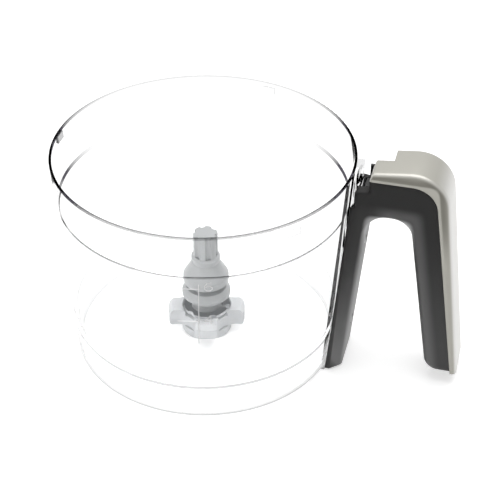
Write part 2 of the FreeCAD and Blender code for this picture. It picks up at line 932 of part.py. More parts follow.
def make_grip():
    """The dark grip: a head with a tongue in the cover, a long leg and a flared short leg."""
    body = new_body("handle_grip")
    sketch = sketch_on(body, "grip_side", "XZ_Plane")
    inside = d.rim_radius - d.bracket_depth
    polygon(sketch, [
        (inside, arch_top),
        (palm_at(arch_top), arch_top),
        (palm_at(d.leg_end), d.leg_end),
        (seam_at(d.leg_end), d.leg_end),
        (seam_at(skirt_line), skirt_line),
        (head_end, skirt_line),
        (head_end, sill_top),
        (inside, sill_top),
    ], bends={1: d.arch_bend, 2: d.toe_bend, 4: d.skirt_bend})
    padded(body, "grip_block", sketch, 2 * d.handle_half, both_ways=True)
    flare_leg(body)
    root_x = root_at(arch_top)
    rounded(body, "arch_root", d.arch_bend,
            lambda at, along: near(at.x, root_x, 0.3) and near(at.z, arch_top, 0.3)
            and abs(along.y) > 0.9)
    rounded(body, "finger_edges", d.grip_edge, on_finger_edge)
    turned(body, "rail_seat", [
        (d.rim_radius / 2, -PAST),
        (rail_at(-PAST), -PAST),
        (rail_at(rail_top), rail_top),
        (bracket_reach, rail_top),
        (bracket_reach, skirt_line),
        (d.rim_radius / 2, skirt_line),
    ], kind="Groove")
    sketch = sketch_on(body, "recess_outline", "XY_Plane", offset=recess_floor)
    polygon(sketch, [
        (inside, -d.recess_side),
        (head_end, -d.recess_side),
        (head_end, d.flare_foot),
        (inside, d.flare_foot),
    ])
    pocketed(body, "recess", sketch, d.recess_depth, reverse=True)
    cover_tongue(body)
    interlock_pockets(body)
    for height in (d.low_screw, high_screw):
        boss_end = rail_at(height) + d.boss_length + d.piece_clearance
        seat = root_at(height) - d.screw_head_height
        stepped_hole(body, height, [
            (wall_at(height), d.boss_radius + d.piece_clearance / 2, boss_end),
            (boss_end, d.screw_radius + d.piece_clearance, seat),
            (seat, d.screw_head + d.piece_clearance, seat + d.root_depth),
        ])
    height = d.cover_screw_height
    boss_end = cover_at(height) - d.cover_wall - d.cover_boss_length - d.piece_clearance
    seat = palm_at(height) + d.screw_head_height
    stepped_hole(body, height, [
        (seat - d.root_depth, d.screw_head + d.piece_clearance, seat),
        (seat, d.screw_radius + d.piece_clearance, boss_end),
        (boss_end, d.cover_boss_radius + d.piece_clearance, cover_at(height)),
    ])
    keep(body, "handle_grip")


def flare_leg(body):
    """The short leg, which widens from its finger side to the rail."""
    sections = []
    for name, height, half in (
            ("leg_foot", d.grip_foot, d.flare_foot),
            ("leg_head", sill_top, d.flare_head)):
        sketch = sketch_on(body, name, "XY_Plane", offset=height)
        back = wall_at(height) - d.bowl_wall
        side = wall_at(height) + d.rail_foot
        finger = root_at(height)
        polygon(sketch, [
            (back, -half), (side, -half), (finger, -d.handle_half),
            (finger, d.handle_half), (side, half), (back, half),
        ])
        sections.append(sketch)
    loft = body.newObject("PartDesign::AdditiveLoft", "short_leg")
    loft.Profile = sections[0]
    loft.Sections = sections[1:]
    loft.Ruled = True
    doc.recompute()


def on_finger_edge(at, along):
    """Whether an edge runs round the finger opening or down the legs' finger sides."""
    if not near(abs(at.y), d.handle_half, 0.3) or at.z < 4:
        return False
    height = as_size(at.z)
    below = at.z < arch_top.number + 0.2
    on_root = at.x < root_at(height).number + d.arch_bend.number
    on_palm = at.x < palm_at(height).number + d.toe_bend.number
    return below and abs(along.y) < 0.1 and (on_root or on_palm)


def cover_tongue(body):
    """The part of the head and the long leg that fills the cover's shell."""
    gap = d.cover_wall + d.piece_clearance
    inner = d.cover_bend / 2
    sketch = sketch_on(body, "tongue_side", "XZ_Plane")
    polygon(sketch, cover_outline(gap) + [
        (tongue_end, top_at(tongue_end) - gap),
        (tongue_end, skirt_line - inner),
        (seam_at(skirt_line) - inner, skirt_line - inner),
        (seam_at(d.leg_end) - inner, d.leg_end + gap),
    ], bends={1: d.cover_bend - gap})
    padded(body, "tongue", sketch, 2 * (tongue_half - d.piece_clearance), both_ways=True)


def rod_point(radius, height):
    """A point beside the interlock rod's axis, in the plane of that axis."""
    lean = math.atan(rod_lean.number)
    across = Size(math.cos(lean), f"cos(atan({rod_lean.text}))")
    down = Size(math.sin(lean), f"sin(atan({rod_lean.text}))")
    return rod_at(height) + as_size(radius) * across, as_size(height) - as_size(radius) * down


def turned_on_rod(body, name, points, kind="Revolution"):
    """Turns an outline, given as radius and height, about the interlock rod's axis."""
    axis = [rod_point(0, 0), rod_point(0, rail_top)]
    outline = [rod_point(radius, height) for radius, height in points]
    return turned_about(body, name, axis, outline, kind, aside=d.rod_offset)


def interlock_pockets(body):
    """Room in the grip for the bezel, the button, the rod, its guide and its spring."""
    sketch = sketch_on(body, "bezel_seat_outline", "XY_Plane", offset=bezel_foot)
    polygon(sketch, [
        (head_end - PAST, d.notch_side),
        (notch_end, d.notch_side),
        (notch_end, d.handle_half + PAST),
        (head_end - PAST, d.handle_half + PAST),
    ])
    pocketed(body, "bezel_seat", sketch, d.head_depth, reverse=True)
    sketch = sketch_on(body, "button_well_outline", "XY_Plane", offset=well_floor)
    side = d.button_width / 2 + d.button_clearance
    heel = button_heel - 2 * d.button_clearance
    polygon(sketch, [
        (heel, d.rod_offset - side),
        (button_end + d.button_clearance, d.rod_offset - side),
        (button_end + d.button_clearance, d.rod_offset + side),
        (heel, d.rod_offset + side),
    ])
    pocketed(body, "button_well", sketch, d.head_depth, reverse=True)
    bore = d.rod_radius + d.piece_clearance
    coil = d.spring_radius + d.spring_wire + d.piece_clearance
    turned_on_rod(body, "rod_bore", [
        (0, -PAST),
        (bore, -PAST),
        (bore, spring_seat),
        (coil, spring_seat),
        (coil, guide_foot),
        (d.guide_radius, guide_foot),
        (d.guide_radius, well_floor + PAST),
        (0, well_floor + PAST),
    ], kind="Groove")


def stepped_hole(body, height, steps):
    """A hole along X in steps, each with its start, radius and end."""
    points = [(steps[0][0], height)]
    for start, radius, end in steps:
        points += [(start, height + radius), (end, height + radius)]
    points.append((steps[-1][2], height))
    name = f"{body.Label}_hole_{len(body.Group)}"
    axis = [(0, height), (cover_foot_x, height)]
    before = body.Shape.Volume
    turned_about(body, name, axis, points, kind="Groove")
    if body.Shape.Volume >= before - 1e-6:
        raise RuntimeError(f"{name} cuts nothing")


def make_bezel():
    """The black bezel in the cover's notch: a shelf with the button's window, and a cheek."""
    body = new_body("interlock_bezel")
    gap = d.piece_clearance
    sketch = sketch_on(body, "bezel_plate_outline", "XY_Plane", offset=bezel_foot)
    polygon(sketch, [
        (head_end, d.notch_side + gap),
        (notch_end - gap, d.notch_side + gap),
        (notch_end - gap, d.handle_half),
        (head_end, d.handle_half),
    ])
    padded(body, "bezel_shelf", sketch, d.bezel_plate)
    sketch = sketch_on(body, "cheek_side", "XZ_Plane", offset=-d.handle_half)
    polygon(sketch, [
        (cover_end - d.cheek_reach, recess_floor),
        (head_end, recess_floor),
        (head_end, bezel_foot),
        (notch_end - gap, bezel_foot),
        (notch_end - gap, bezel_top + d.cheek_rise),
        (cover_end - d.cheek_reach, bezel_top + d.cheek_rise),
    ])
    padded(body, "bezel_cheek", sketch, d.cheek_wall)
    sketch = sketch_on(body, "window_outline", "XY_Plane", offset=bezel_top)
    side = d.button_width / 2 + gap
    polygon(sketch, [
        (head_end - PAST, d.rod_offset - side),
        (button_end + gap, d.rod_offset - side),
        (button_end + gap, d.rod_offset + side),
        (head_end - PAST, d.rod_offset + side),
    ])
    pocketed(body, "window", sketch)
    keep(body, "interlock_bezel")


def make_button():
    """The button: a head in the bezel's window on a heel that holds the rod."""
    body = new_body("rod_button")
    sketch = sketch_on(body, "button_side", "XZ_Plane", offset=-d.rod_offset)
    step = button_foot + d.button_step
    polygon(sketch, [
        (button_heel, button_foot),
        (button_end, button_foot),
        (button_end, button_top),
        (button_start, button_top),
        (button_start, step),
        (button_heel, step),
    ])
    padded(body, "button_block", sketch, d.button_width, both_ways=True)
    base = body.Tip
    ramp = body.newObject("PartDesign::Chamfer", "button_ramp")
    edge = d.rod_offset + d.button_width / 2
    ramp.Base = (base, edge_names(
        base.Shape, lambda at, along: near(at.y, edge) and near(at.z, button_top)))
    bind(ramp, "Size", d.button_ramp)
    doc.recompute()
    turned_on_rod(body, "rod_socket", [
        (0, button_foot - PAST),
        (d.rod_radius, button_foot - PAST),
        (d.rod_radius, rod_high),
        (0, rod_high),
    ], kind="Groove")
    keep(body, "rod_button")


def make_interlock():
    """The rod with its collar, the guide above it, the button and the spring."""
    body = new_body("interlock_rod")
    turned_on_rod(body, "rod_form", [
        (0, d.rod_foot),
        (d.rod_radius - d.rod_chamfer, d.rod_foot),
        (d.rod_radius, d.rod_foot + d.rod_chamfer),
        (d.rod_radius, clip_foot),
        (d.clip_radius, clip_foot),
        (d.clip_radius, clip_foot + d.clip_thickness),
        (d.rod_radius, clip_foot + d.clip_thickness),
        (d.rod_radius, rod_high),
        (0, rod_high),
    ])
    keep(body, "interlock_rod")
    body = new_body("rod_guide")
    bore = d.rod_radius + d.running_clearance
    turned_on_rod(body, "guide_form", [
        (bore, guide_foot),
        (d.guide_radius, guide_foot),
        (d.guide_radius, guide_foot + d.guide_length),
        (bore, guide_foot + d.guide_length),
    ])
    keep(body, "rod_guide")
    make_button()
    make_spring()


def make_spring():
    """The rod's return spring, a coil between the grip's seat and the rod's collar."""
    body = new_body("return_spring")
    sketch = sketch_on(body, "wire_section", "XZ_Plane")
    circle(sketch, d.spring_wire, x=d.spring_radius, y=d.spring_wire + d.spring_play)
    coil = body.newObject("PartDesign::AdditiveHelix", "coil")
    coil.Profile = sketch
    coil.ReferenceAxis = (sketch, ["V_Axis"])
    coil.Mode = "height-turns-angle"
    lean = math.atan(rod_lean.number)
    length = (clip_foot - spring_seat) / Size(math.cos(lean), f"cos(atan({rod_lean.text}))")
    bind(coil, "Height", length - 2 * d.spring_wire - 2 * d.spring_play)
    bind(coil, "Turns", d.spring_turns)
    place(body, x=rod_at(spring_seat), y=d.rod_offset, z=spring_seat,
          rotation=Rotation(Vector(0, 1, 0), math.degrees(lean)))
    doc.recompute()
    keep(body, "return_spring")


def make_screw(name, height, seat, length, outward):
    """A pan-head screw along X; outward is 1 where its head faces the long leg."""
    body = new_body(name)
    crown = outward * (d.screw_head_height - d.piece_clearance)
    turned_about(body, f"{name}_form", [(0, height), (cover_foot_x, height)], [
        (seat - outward * length, height),
        (seat - outward * length, height + d.screw_radius),
        (seat, height + d.screw_radius),
        (seat, height + d.screw_head),
        (seat + crown - outward * d.screw_head_rounding, height + d.screw_head),
        (seat + crown, height + d.screw_head - d.screw_head_rounding),
        (seat + crown, height),
    ])
    return body


def make_screws():
    """Two screws through the short leg into the rail, and one into the cover."""
    pair = [
        make_screw(name, height, root_at(height) - d.screw_head_height, d.screw_length, 1)
        for name, height in (("low_screw", d.low_screw), ("high_screw", high_screw))
    ]
    group = doc.addObject("Part::Compound", "handle_screws")
    group.Links = pair
    keep(group, "handle_screws")
    height = d.cover_screw_height
    seat = palm_at(height) + d.screw_head_height
    keep(make_screw("cover_screw", height, seat, d.cover_screw_length, -1), "cover_screw")


make_bowl()
make_spindle()
make_shaft()
make_housing()
make_bearing_parts()
make_nut()
make_coupling()
make_cover()
make_grip()
make_bezel()
make_interlock()
make_screws()

doc.recompute()
check_states()

os.makedirs("parts", exist_ok=True)
for label, item in exported:
    shape = item.Shape
    if shape.isNull() or not shape.isValid():
        raise RuntimeError(f"{label} has no valid shape")
    shape.exportStep(f"parts/{label}.step")
    print(label, len(shape.Solids), round(shape.Volume, 1))
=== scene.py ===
"""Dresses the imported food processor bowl: clear moulding, handle, drive and studio."""

import json
import logging
import math
from dataclasses import dataclass
from enum import Enum
from typing import Any, Iterable, Sequence

import bpy
from mathutils import Matrix, Vector


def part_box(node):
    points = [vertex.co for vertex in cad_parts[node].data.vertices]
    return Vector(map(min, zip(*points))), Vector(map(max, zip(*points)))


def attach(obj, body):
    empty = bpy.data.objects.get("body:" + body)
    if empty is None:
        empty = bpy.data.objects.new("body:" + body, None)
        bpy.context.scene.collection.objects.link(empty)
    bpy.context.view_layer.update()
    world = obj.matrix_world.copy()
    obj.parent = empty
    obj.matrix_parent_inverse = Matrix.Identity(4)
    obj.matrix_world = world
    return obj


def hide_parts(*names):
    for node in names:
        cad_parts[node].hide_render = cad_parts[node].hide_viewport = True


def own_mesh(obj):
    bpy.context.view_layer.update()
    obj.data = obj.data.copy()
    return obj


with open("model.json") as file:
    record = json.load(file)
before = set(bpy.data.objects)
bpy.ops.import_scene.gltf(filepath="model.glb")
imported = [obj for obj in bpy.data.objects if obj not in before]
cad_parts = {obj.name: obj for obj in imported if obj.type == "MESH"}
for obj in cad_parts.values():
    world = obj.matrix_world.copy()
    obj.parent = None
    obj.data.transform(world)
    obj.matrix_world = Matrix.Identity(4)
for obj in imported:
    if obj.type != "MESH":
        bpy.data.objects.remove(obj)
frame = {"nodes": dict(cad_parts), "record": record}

LOG = logging.getLogger("bowl_scene")
MM = 0.001
WALL_FOOT_RADIUS = 80.9 * MM
WALL_LEAN = 0.0538

Colour = tuple[float, float, float, float]
WHITE: Colour = (1.0, 1.0, 1.0, 1.0)
# Where a smooth step starts and ends, then its two results where they aren't 0 and 1.
Step = tuple[float, ...]


class Graph:
    """Adds nodes to a node tree and joins them by the names of their sockets."""

    # The colour sockets of a Mix node, which shares their names with its number sockets.
    MIX_SHARE, MIX_FIRST, MIX_SECOND, MIX_RESULT = 0, 6, 7, 2

    def __init__(self, tree: bpy.types.NodeTree) -> None:
        """Starts on an empty tree.

        Args:
            tree: The node tree of a material, a world or a group.
        """
        self.tree = tree
        self.tree.nodes.clear()

    def add(self, kind: str, settings: dict[str, Any] | None = None,
            **values: Any) -> bpy.types.Node:
        """Adds one node.

        Args:
            kind: The node's type name.
            settings: The node's own properties.
            **values: Plain values for its inputs, by name with underscores for spaces.

        Returns:
            The new node.
        """
        node = self.tree.nodes.new(kind)
        for name, value in (settings or {}).items():
            setattr(node, name, value)
        for name, value in values.items():
            node.inputs[name.replace("_", " ")].default_value = value
        return node

    def join(self, source: bpy.types.NodeSocket, target: bpy.types.NodeSocket) -> None:
        """Links an output to an input."""
        self.tree.links.new(source, target)

    def math(self, operation: str, first: Any, second: Any = 0.0,
             clamp: bool = False) -> bpy.types.NodeSocket:
        """Adds a Math node.

        Args:
            operation: The node's operation.
            first: A socket or a number.
            second: A socket or a number.
            clamp: Whether the result stays between 0 and 1.

        Returns:
            The node's output.
        """
        node = self.add("ShaderNodeMath", {"operation": operation, "use_clamp": clamp})
        for socket, value in zip(node.inputs, (first, second)):
            if isinstance(value, bpy.types.NodeSocket):
                self.join(value, socket)
            else:
                socket.default_value = value
        return node.outputs[0]

    def smooth_larger(self, first: Any, second: Any, distance: float) -> bpy.types.NodeSocket:
        """The larger of two values, rounded over where they cross.

        Args:
            first: One value's socket.
            second: The other value's socket.
            distance: How far from the crossing the rounding starts.

        Returns:
            The node's output.
        """
        node = self.add("ShaderNodeMath", {"operation": "SMOOTH_MAX"})
        self.join(first, node.inputs[0])
        self.join(second, node.inputs[1])
        node.inputs[2].default_value = distance
        return node.outputs[0]

    def ramp(self, value: Any, start: float, end: float, low: float = 0.0,
             high: float = 1.0) -> bpy.types.NodeSocket:
        """A smooth step from one value to another.

        Args:
            value: The socket that drives it.
            start: Where the step starts.
            end: Where the step ends.
            low: The result at the start.
            high: The result at the end.

        Returns:
            The step's output.
        """
        node = self.add("ShaderNodeMapRange", {"interpolation_type": "SMOOTHSTEP"},
                        From_Min=start, From_Max=end, To_Min=low, To_Max=high)
        self.join(value, node.inputs["Value"])
        return node.outputs["Result"]

    def product(self, *factors: Any) -> bpy.types.NodeSocket:
        """Several values multiplied together.

        Args:
            *factors: Sockets or numbers, with a socket among the first two.

        Returns:
            The product's output.
        """
        total = factors[0]
        for factor in factors[1:]:
            total = self.math("MULTIPLY", total, factor)
        return total

    def mix(self, share: Any, first: Any, second: Any) -> bpy.types.NodeSocket:
        """Adds a colour Mix node.

        Args:
            share: A socket or a number, 0 for the first colour and 1 for the second.
            first: A socket or a colour.
            second: A socket or a colour.

        Returns:
            The mixed colour.
        """
        node = self.add("ShaderNodeMix", {"data_type": "RGBA"})
        inputs = ((self.MIX_SHARE, share), (self.MIX_FIRST, first), (self.MIX_SECOND, second))
        for index, value in inputs:
            if isinstance(value, bpy.types.NodeSocket):
                self.join(value, node.inputs[index])
            else:
                node.inputs[index].default_value = value
        return node.outputs[self.MIX_RESULT]


@dataclass(frozen=True)
class HandleLines:
    """The handle's leading lines in the XZ plane, in millimetres, which place the grip's and the
    cover's painted light and shade.

    A leaning line is its start at the foot and its lean. The arch and the skirt are heights.
    """

    palm: tuple[float, float] = (140.7, -0.165)
    root: tuple[float, float] = (89.6, 0.0825)
    seam: tuple[float, float] = (156.0, -0.155)
    arch: float = 111.2
    skirt: float = 135.0
    bend: float = 8.0

    @staticmethod
    def at(graph: Graph, height: bpy.types.NodeSocket,
           line: tuple[float, float]) -> bpy.types.NodeSocket:
        """A line's place across at a height.

        Args:
            graph: The group's graph.
            height: The height's socket, in millimetres.
            line: The line's start and lean.

        Returns:
            The place's output, in millimetres.
        """
        start, lean = line
        return graph.math("ADD", graph.math("MULTIPLY", height, lean), start)


class Effect(Enum):
    """The shader groups that several finishes share."""

    GRAIN = "moulded_grain"
    EDGE = "soft_edge"
    HANDLE = "handle_lines"
    CREASE = "crease_shade"
    WALL = "wall_lines"


class EffectLibrary:
    """Builds each shared shader group once."""

    EDGE_SAMPLES = 6
    EDGE_START = 0.995
    EDGE_FULL = 0.8
    CREASE_SAMPLES = 8
    # The bowl's front, where the painted dark lines of the clear wall differ from the back.
    FRONT = (0.25, -0.968, 0.0)
    FRONT_STEP: Step = (-0.3, 0.3)

    def __init__(self) -> None:
        """Builds every group of the library."""
        self.groups = {Effect.GRAIN: self._grain(), Effect.EDGE: self._edge(),
                       Effect.HANDLE: self._handle(), Effect.CREASE: self._crease(),
                       Effect.WALL: self._wall()}

    @staticmethod
    def _new_group(effect: Effect, inputs: Iterable[tuple[str, float]],
                   outputs: Iterable[tuple[str, str]]) -> bpy.types.NodeTree:
        """Makes an empty group with its sockets.

        Args:
            effect: Which group it is.
            inputs: Each input's name and default value.
            outputs: Each output's name and socket type.

        Returns:
            The group's node tree.
        """
        tree = bpy.data.node_groups.new(effect.value, "ShaderNodeTree")
        for name, value in inputs:
            socket = tree.interface.new_socket(name, in_out="INPUT", socket_type="NodeSocketFloat")
            socket.default_value = value
        for name, kind in outputs:
            tree.interface.new_socket(name, in_out="OUTPUT", socket_type=kind)
        return tree

    def _grain(self) -> bpy.types.NodeTree:
        """Fine moulded texture: a height for bump, and a slow patchy shade.

        Returns:
            The group's node tree.
        """
        tree = self._new_group(
            Effect.GRAIN,
            (("Scale", 2500.0), ("Patch Scale", 30.0)),
            (("Height", "NodeSocketFloat"), ("Patch", "NodeSocketFloat")),
        )
        graph = Graph(tree)
        source = graph.add("NodeGroupInput")
        place = graph.add("ShaderNodeTexCoord")
        fine = graph.add("ShaderNodeTexNoise", Detail=2.0, Roughness=0.6)
        slow = graph.add("ShaderNodeTexNoise", Detail=3.0, Roughness=0.5)
        result = graph.add("NodeGroupOutput")
        for noise, scale in ((fine, "Scale"), (slow, "Patch Scale")):
            graph.join(place.outputs["Object"], noise.inputs["Vector"])
            graph.join(source.outputs[scale], noise.inputs["Scale"])
        graph.join(fine.outputs["Fac"], result.inputs["Height"])
        graph.join(slow.outputs["Fac"], result.inputs["Patch"])
        return tree

    def _edge(self) -> bpy.types.NodeTree:
        """Softened normals at edges, and a mask of where the edges are.

        Returns:
            The group's node tree.
        """
        tree = self._new_group(
            Effect.EDGE,
            (("Radius", 0.4 * MM),),
            (("Normal", "NodeSocketVector"), ("Mask", "NodeSocketFloat")),
        )
        graph = Graph(tree)
        source = graph.add("NodeGroupInput")
        bevel = graph.add("ShaderNodeBevel", {"samples": self.EDGE_SAMPLES})
        flat = graph.add("ShaderNodeNewGeometry")
        product = graph.add("ShaderNodeVectorMath", {"operation": "DOT_PRODUCT"})
        ramp = graph.add("ShaderNodeMapRange", From_Min=self.EDGE_START, From_Max=self.EDGE_FULL)
        result = graph.add("NodeGroupOutput")
        graph.join(source.outputs["Radius"], bevel.inputs["Radius"])
        graph.join(bevel.outputs["Normal"], product.inputs[0])
        graph.join(flat.outputs["Normal"], product.inputs[1])
        graph.join(product.outputs["Value"], ramp.inputs["Value"])
        graph.join(bevel.outputs["Normal"], result.inputs["Normal"])
        graph.join(ramp.outputs["Result"], result.inputs["Mask"])
        return tree

    def _handle(self) -> bpy.types.NodeTree:
        """Millimetres from the finger opening and the seam, the place and the normal.

        Returns:
            The group's node tree.
        """
        outputs = ("Opening", "Seam", "Across", "Height", "Side", "Out")
        tree = self._new_group(Effect.HANDLE, (), ((name, "NodeSocketFloat") for name in outputs))
        graph = Graph(tree)
        place = graph.add("ShaderNodeTexCoord")
        result = graph.add("NodeGroupOutput")
        split = graph.add("ShaderNodeSeparateXYZ")
        normal = graph.add("ShaderNodeSeparateXYZ")
        graph.join(place.outputs["Object"], split.inputs["Vector"])
        graph.join(place.outputs["Normal"], normal.inputs["Vector"])
        across = graph.math("MULTIPLY", split.outputs["X"], 1.0 / MM)
        height = graph.math("MULTIPLY", split.outputs["Z"], 1.0 / MM)
        lines = HandleLines()
        palm = graph.math("SUBTRACT", across, lines.at(graph, height, lines.palm))
        root = graph.math("SUBTRACT", lines.at(graph, height, lines.root), across)
        arch = graph.math("SUBTRACT", height, lines.arch)
        seam = graph.math("SUBTRACT", across, lines.at(graph, height, lines.seam))
        skirt = graph.math("SUBTRACT", height, lines.skirt)
        opening = graph.smooth_larger(graph.smooth_larger(palm, arch, lines.bend), root, lines.bend)
        graph.join(opening, result.inputs["Opening"])
        graph.join(graph.smooth_larger(seam, skirt, lines.bend), result.inputs["Seam"])
        graph.join(across, result.inputs["Across"])
        graph.join(height, result.inputs["Height"])
        graph.join(graph.math("ABSOLUTE", normal.outputs["Y"]), result.inputs["Side"])
        graph.join(normal.outputs["X"], result.inputs["Out"])
        return tree

    def _crease(self) -> bpy.types.NodeTree:
        """How open a place is, 0 deep in a crease and 1 on open ground.

        Returns:
            The group's node tree.
        """
        tree = self._new_group(
            Effect.CREASE, (("Distance", 6.0 * MM),), (("Open", "NodeSocketFloat"),))
        graph = Graph(tree)
        source = graph.add("NodeGroupInput")
        result = graph.add("NodeGroupOutput")
        shade = graph.add(
            "ShaderNodeAmbientOcclusion", {"samples": self.CREASE_SAMPLES, "only_local": True})
        graph.join(source.outputs["Distance"], shade.inputs["Distance"])
        graph.join(shade.outputs["AO"], result.inputs["Open"])
        return tree

    def _wall(self) -> bpy.types.NodeTree:
        """The way out from the bowl's axis, the height, the front, and how far beyond the wall.

        Returns:
            The group's node tree.
        """
        tree = self._new_group(
            Effect.WALL,
            (("Foot Radius", WALL_FOOT_RADIUS), ("Lean", WALL_LEAN)),
            (("Normal", "NodeSocketVector"), ("Height", "NodeSocketFloat"),
             ("Near", "NodeSocketFloat"), ("Beyond", "NodeSocketFloat")),
        )
        graph = Graph(tree)
        source = graph.add("NodeGroupInput")
        place = graph.add("ShaderNodeTexCoord")
        result = graph.add("NodeGroupOutput")
        flat = graph.add("ShaderNodeVectorMath", {"operation": "MULTIPLY"})
        flat.inputs[1].default_value = (1.0, 1.0, 0.0)
        spread = graph.add("ShaderNodeVectorMath", {"operation": "LENGTH"})
        out = graph.add("ShaderNodeVectorMath", {"operation": "NORMALIZE"})
        toward = graph.add("ShaderNodeVectorMath", {"operation": "DOT_PRODUCT"})
        split = graph.add("ShaderNodeSeparateXYZ")
        graph.join(place.outputs["Object"], flat.inputs[0])
        graph.join(place.outputs["Object"], split.inputs["Vector"])
        graph.join(flat.outputs["Vector"], spread.inputs[0])
        graph.join(flat.outputs["Vector"], out.inputs[0])
        graph.join(out.outputs["Vector"], toward.inputs[0])
        toward.inputs[1].default_value = self.FRONT
        leaning = graph.math("MULTIPLY", split.outputs["Z"], source.outputs["Lean"])
        wall = graph.math("ADD", leaning, source.outputs["Foot Radius"])
        graph.join(out.outputs["Vector"], result.inputs["Normal"])
        graph.join(split.outputs["Z"], result.inputs["Height"])
        near = graph.ramp(toward.outputs["Value"], *self.FRONT_STEP)
        graph.join(near, result.inputs["Near"])
        beyond = graph.math("SUBTRACT", spread.outputs["Value"], wall)
        graph.join(beyond, result.inputs["Beyond"])
        return tree

    def place(self, graph: Graph, effect: Effect, **values: float) -> bpy.types.Node:
        """Puts a group into a material.

        Args:
            graph: The material's graph.
            effect: Which group.
            **values: Values for its inputs.

        Returns:
            The group node.
        """
        return graph.add("ShaderNodeGroup", {"node_tree": self.groups[effect]}, **values)


@dataclass(frozen=True)
class Moulded:
    """An opaque finish: moulded plastic, paint, rubber or ground metal."""

    name: str
    colour: Colour
    shade: Colour
    roughness: float
    metallic: float = 0.0
    specular: float = 0.5
    coat: float = 0.0
    coat_roughness: float = 0.25
    grain_scale: float = 2500.0
    grain_depth: float = 0.05
    bump_distance: float = 0.1 * MM
    patch_scale: float = 30.0
    roughness_spread: float = 0.08
    edge_radius: float = 0.4 * MM
    # Edges paled toward white by the edge mask: partly edge wear, partly a painted highlight.
    edge_lift: float = 0.15
    # Painted light: a glow above 0 makes the finish emit its own colour and light itself without a
    # lamp.
    glow: float = 0.0

    def material(self, effects: EffectLibrary) -> bpy.types.Material:
        """Builds the material.

        Args:
            effects: The shared shader groups.

        Returns:
            A new material.
        """
        material = bpy.data.materials.new(self.name)
        material.use_nodes = True
        graph = Graph(material.node_tree)
        output = graph.add("ShaderNodeOutputMaterial")
        # Emission by glow is painted light.
        surface = graph.add(
            "ShaderNodeBsdfPrincipled", Metallic=self.metallic, Coat_Weight=self.coat,
            Coat_Roughness=self.coat_roughness, Specular_IOR_Level=self.specular,
            Emission_Color=self.colour, Emission_Strength=self.glow,
        )
        grain = effects.place(
            graph, Effect.GRAIN, Scale=self.grain_scale, Patch_Scale=self.patch_scale)
        edge = effects.place(graph, Effect.EDGE, Radius=self.edge_radius)
        patchy = graph.mix(grain.outputs["Patch"], self.colour, self.shade)
        # Edges paled toward white: partly edge wear, partly a painted highlight.
        lift = graph.math("MULTIPLY", edge.outputs["Mask"], self.edge_lift, clamp=True)
        edge_wear_and_highlight = graph.mix(lift, patchy, WHITE)
        graph.join(self.paint_light_and_shade(graph, effects, edge_wear_and_highlight), surface.inputs["Base Color"])
        centred = graph.math("SUBTRACT", grain.outputs["Patch"], 0.5)
        spread = graph.math("MULTIPLY", centred, self.roughness_spread)
        roughness = graph.math("ADD", spread, self.roughness, clamp=True)
        graph.join(roughness, surface.inputs["Roughness"])
        bump = graph.add(
            "ShaderNodeBump", Strength=self.grain_depth, Distance=self.bump_distance)
        graph.join(grain.outputs["Height"], bump.inputs["Height"])
        graph.join(edge.outputs["Normal"], bump.inputs["Normal"])
        graph.join(bump.outputs["Normal"], surface.inputs["Normal"])
        graph.join(surface.outputs["BSDF"], output.inputs["Surface"])
        return material

    def paint_light_and_shade(self, graph: Graph, effects: EffectLibrary,
              colour: bpy.types.NodeSocket) -> bpy.types.NodeSocket:
        """The colour as it is; finishes with painted light and shade change it.

        Args:
            graph: The material's graph.
            effects: The shared shader groups.
            colour: The colour so far.

        Returns:
            The colour for the surface.
        """
        return colour


@dataclass(frozen=True)
class GripFinish(Moulded):
    """The soft grip, with painted light: paler round the finger opening and towards the legs' feet.
    """

    painted_opening_highlight: float = 0.095
    opening_start: Step = (0.5, 3.0)
    opening_end: Step = (3.5, 10.0, 1.0, 0.0)
    opening_across: Step = (98.0, 112.0, 0.15, 1.0)
    painted_foot_light: float = 0.05
    foot_height: Step = (115.0, 10.0)
    painted_root_highlight: float = 0.38
    root_facing: Step = (0.35, 1.0)
    root_height: Step = (128.0, 100.0)
    painted_arch_highlight: float = 0.5
    arch_opening: Step = (2.6, -0.4)
    arch_height: Step = (85.0, 112.0)

    def paint_light_and_shade(self, graph: Graph, effects: EffectLibrary,
              colour: bpy.types.NodeSocket) -> bpy.types.NodeSocket:
        """Paints light: lifts the colour toward white near the opening, the feet and the short
        leg's finger side.

        Args:
            graph: The material's graph.
            effects: The shared shader groups.
            colour: The colour so far.

        Returns:
            The colour for the surface.
        """
        lines = effects.place(graph, Effect.HANDLE).outputs
        # Painted highlights round the opening, at the short leg's finger side and at the arch, and
        # painted light towards the feet.
        band = graph.product(
            graph.ramp(lines["Opening"], *self.opening_start),
            graph.ramp(lines["Opening"], *self.opening_end),
            graph.ramp(lines["Across"], *self.opening_across), self.painted_opening_highlight)
        foot = graph.ramp(lines["Height"], *self.foot_height, 0.0, self.painted_foot_light)
        root = graph.product(
            graph.ramp(lines["Out"], *self.root_facing),
            graph.ramp(lines["Height"], *self.root_height), self.painted_root_highlight)
        arch = graph.product(
            graph.ramp(lines["Opening"], *self.arch_opening),
            graph.ramp(lines["Height"], *self.arch_height), self.painted_arch_highlight)
        legs = graph.math("ADD", band, foot)
        share = graph.math("ADD", legs, graph.math("ADD", root, arch), clamp=True)
        return graph.mix(share, colour, WHITE)


